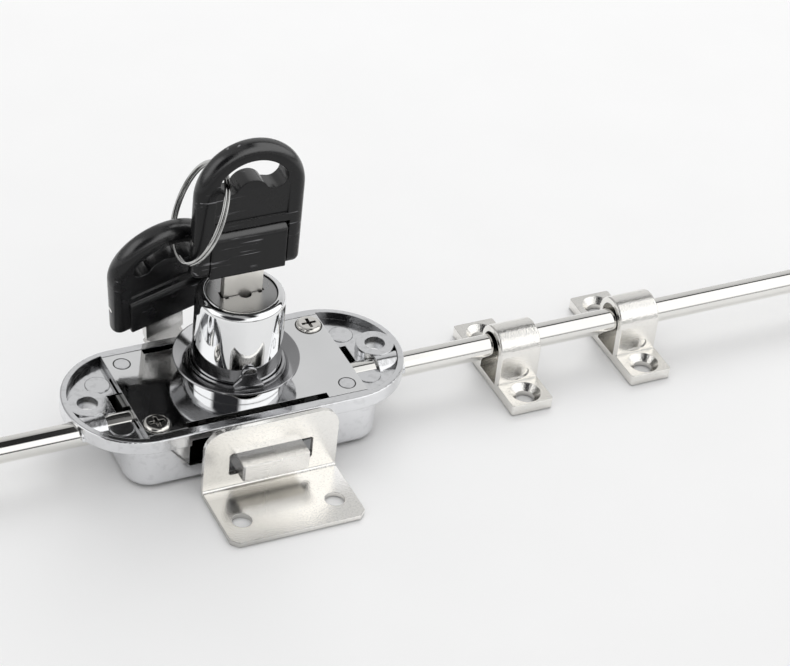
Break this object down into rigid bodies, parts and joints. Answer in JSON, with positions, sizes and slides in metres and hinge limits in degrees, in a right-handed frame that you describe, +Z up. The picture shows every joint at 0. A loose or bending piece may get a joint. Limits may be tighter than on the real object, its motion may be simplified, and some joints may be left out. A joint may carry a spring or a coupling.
{
  "type": "three-way rod cabinet lock",
  "caption": "Cylinder cabinet lock with a centre deadbolt, two locking rods, saddle guides, angled strike and folding keys on a split ring",
  "frame": {"origin": "on the underside of the case, under the axis of the cylinder", "axes": "+X along the rods towards the guides, +Y away from the strike plate, +Z up the cylinder"},
  "size_m": [0.336, 0.0677, 0.081],
  "materials": {
    "case_zinc": "bright zinc casting, slightly grained",
    "cover_zinc": "bright zinc casting, smooth",
    "screw_steel": "polished nickel plating",
    "barrel_chrome": "polished nickel plating",
    "ring_chrome": "polished nickel plating",
    "plug_brass": "polished nickel plating",
    "spring_steel": "plain steel",
    "inner_zinc": "plain zinc casting",
    "bolt_nickel": "satin nickel plating",
    "rod_chrome": "polished nickel plating",
    "guide_nickel": "cast, satin nickel plating",
    "strike_nickel": "satin nickel plated sheet",
    "wafer_brass": "plain brass",
    "key_steel": "nickel plated blank",
    "key_plastic": "black, satin, lightly scuffed",
    "ring_wire": "nickel plated spring wire"
  },
  "bodies": {
    "lock": {"lock_case": "case_zinc", "cover_plate": "cover_zinc", "cover_screws": "screw_steel", "cylinder_housing": "barrel_chrome", "trim_ring": "ring_chrome", "strike_plate": "strike_nickel", "guide_inner": "guide_nickel", "guide_outer": "guide_nickel"},
    "plug": {"cylinder_plug": "plug_brass", "plug_clip": "spring_steel", "drive_pinion": "inner_zinc", "wafer_springs": "spring_steel"},
    "wafers_odd": {"wafer_1": "wafer_brass", "wafer_3": "wafer_brass", "wafer_5": "wafer_brass"},
    "wafers_even": {"wafer_2": "wafer_brass", "wafer_4": "wafer_brass"},
    "bolt": {"deadbolt": "bolt_nickel"},
    "left_rod_set": {"left_rod": "rod_chrome", "left_rod_carrier": "inner_zinc", "left_carrier_pin": "spring_steel"},
    "right_rod_set": {"right_rod": "rod_chrome", "right_rod_carrier": "inner_zinc", "right_carrier_pin": "spring_steel"},
    "key": {"key_blade": "key_steel", "key_blade_holder": "key_plastic"},
    "bow": {"key_bow": "key_plastic", "key_hinge_pin": "spring_steel"},
    "ring_and_spare_bow": {"key_ring": "ring_wire", "spare_key_bow": "key_plastic", "spare_key_hinge_pin": "spring_steel"},
    "spare_blade": {"spare_key_blade": "key_steel", "spare_key_blade_holder": "key_plastic"}
  },
  "joints": [
    {"name": "key_turn", "type": "hinge", "parent": "lock", "child": "plug", "pos_m": [0, 0, 0.02], "axis": [0, 0, -1], "range_deg": [0, 90]},
    {"name": "left_rod_slide", "type": "slide", "parent": "lock", "child": "left_rod_set", "axis": [1, 0, 0], "range_m": [0, 0.00942]},
    {"name": "right_rod_slide", "type": "slide", "parent": "lock", "child": "right_rod_set", "axis": [-1, 0, 0], "range_m": [0, 0.00942]},
    {"name": "bolt_slide", "type": "slide", "parent": "lock", "child": "bolt", "axis": [0, 1, 0], "range_m": [0, 0.00942]},
    {"name": "key_withdraw", "type": "slide", "parent": "plug", "child": "key", "axis": [0, 0, 1], "range_m": [0, 0.021]},
    {"name": "wafer_slide_odd", "type": "slide", "parent": "plug", "child": "wafers_odd", "axis": [1, 0, 0], "range_m": [0, 0.0008]},
    {"name": "wafer_slide_even", "type": "slide", "parent": "plug", "child": "wafers_even", "axis": [-1, 0, 0], "range_m": [0, 0.0008]},
    {"name": "key_fold", "type": "hinge", "parent": "key", "child": "bow", "pos_m": [0, 0, 0.0556], "axis": [1, 0, 0], "range_deg": [0, 90]},
    {"name": "ring_swing", "type": "hinge", "parent": "bow", "child": "ring_and_spare_bow", "pos_m": [-0.0099, 0.0038, 0.0605], "axis": [0.8958, -0.151, -0.4179], "range_deg": [0, 45]},
    {"name": "spare_key_fold", "type": "hinge", "parent": "ring_and_spare_bow", "child": "spare_blade", "pos_m": [-0.01431, 0.01278, 0.0342], "axis": [0.9722, 0.065, 0.225], "range_deg": [0, 90]}
  ],
  "couplings": [
    {"joint": "key_turn", "follows": "bolt_slide", "rad_per_m": 166.66},
    {"joint": "left_rod_slide", "follows": "bolt_slide", "ratio": 1},
    {"joint": "right_rod_slide", "follows": "bolt_slide", "ratio": 1},
    {"joint": "ring_swing", "follows": "bolt_slide", "rad_per_m": 83.331},
    {"joint": "wafer_slide_odd", "follows": "key_withdraw", "ratio": 0.038095},
    {"joint": "wafer_slide_even", "follows": "key_withdraw", "ratio": 0.038095}
  ]
}
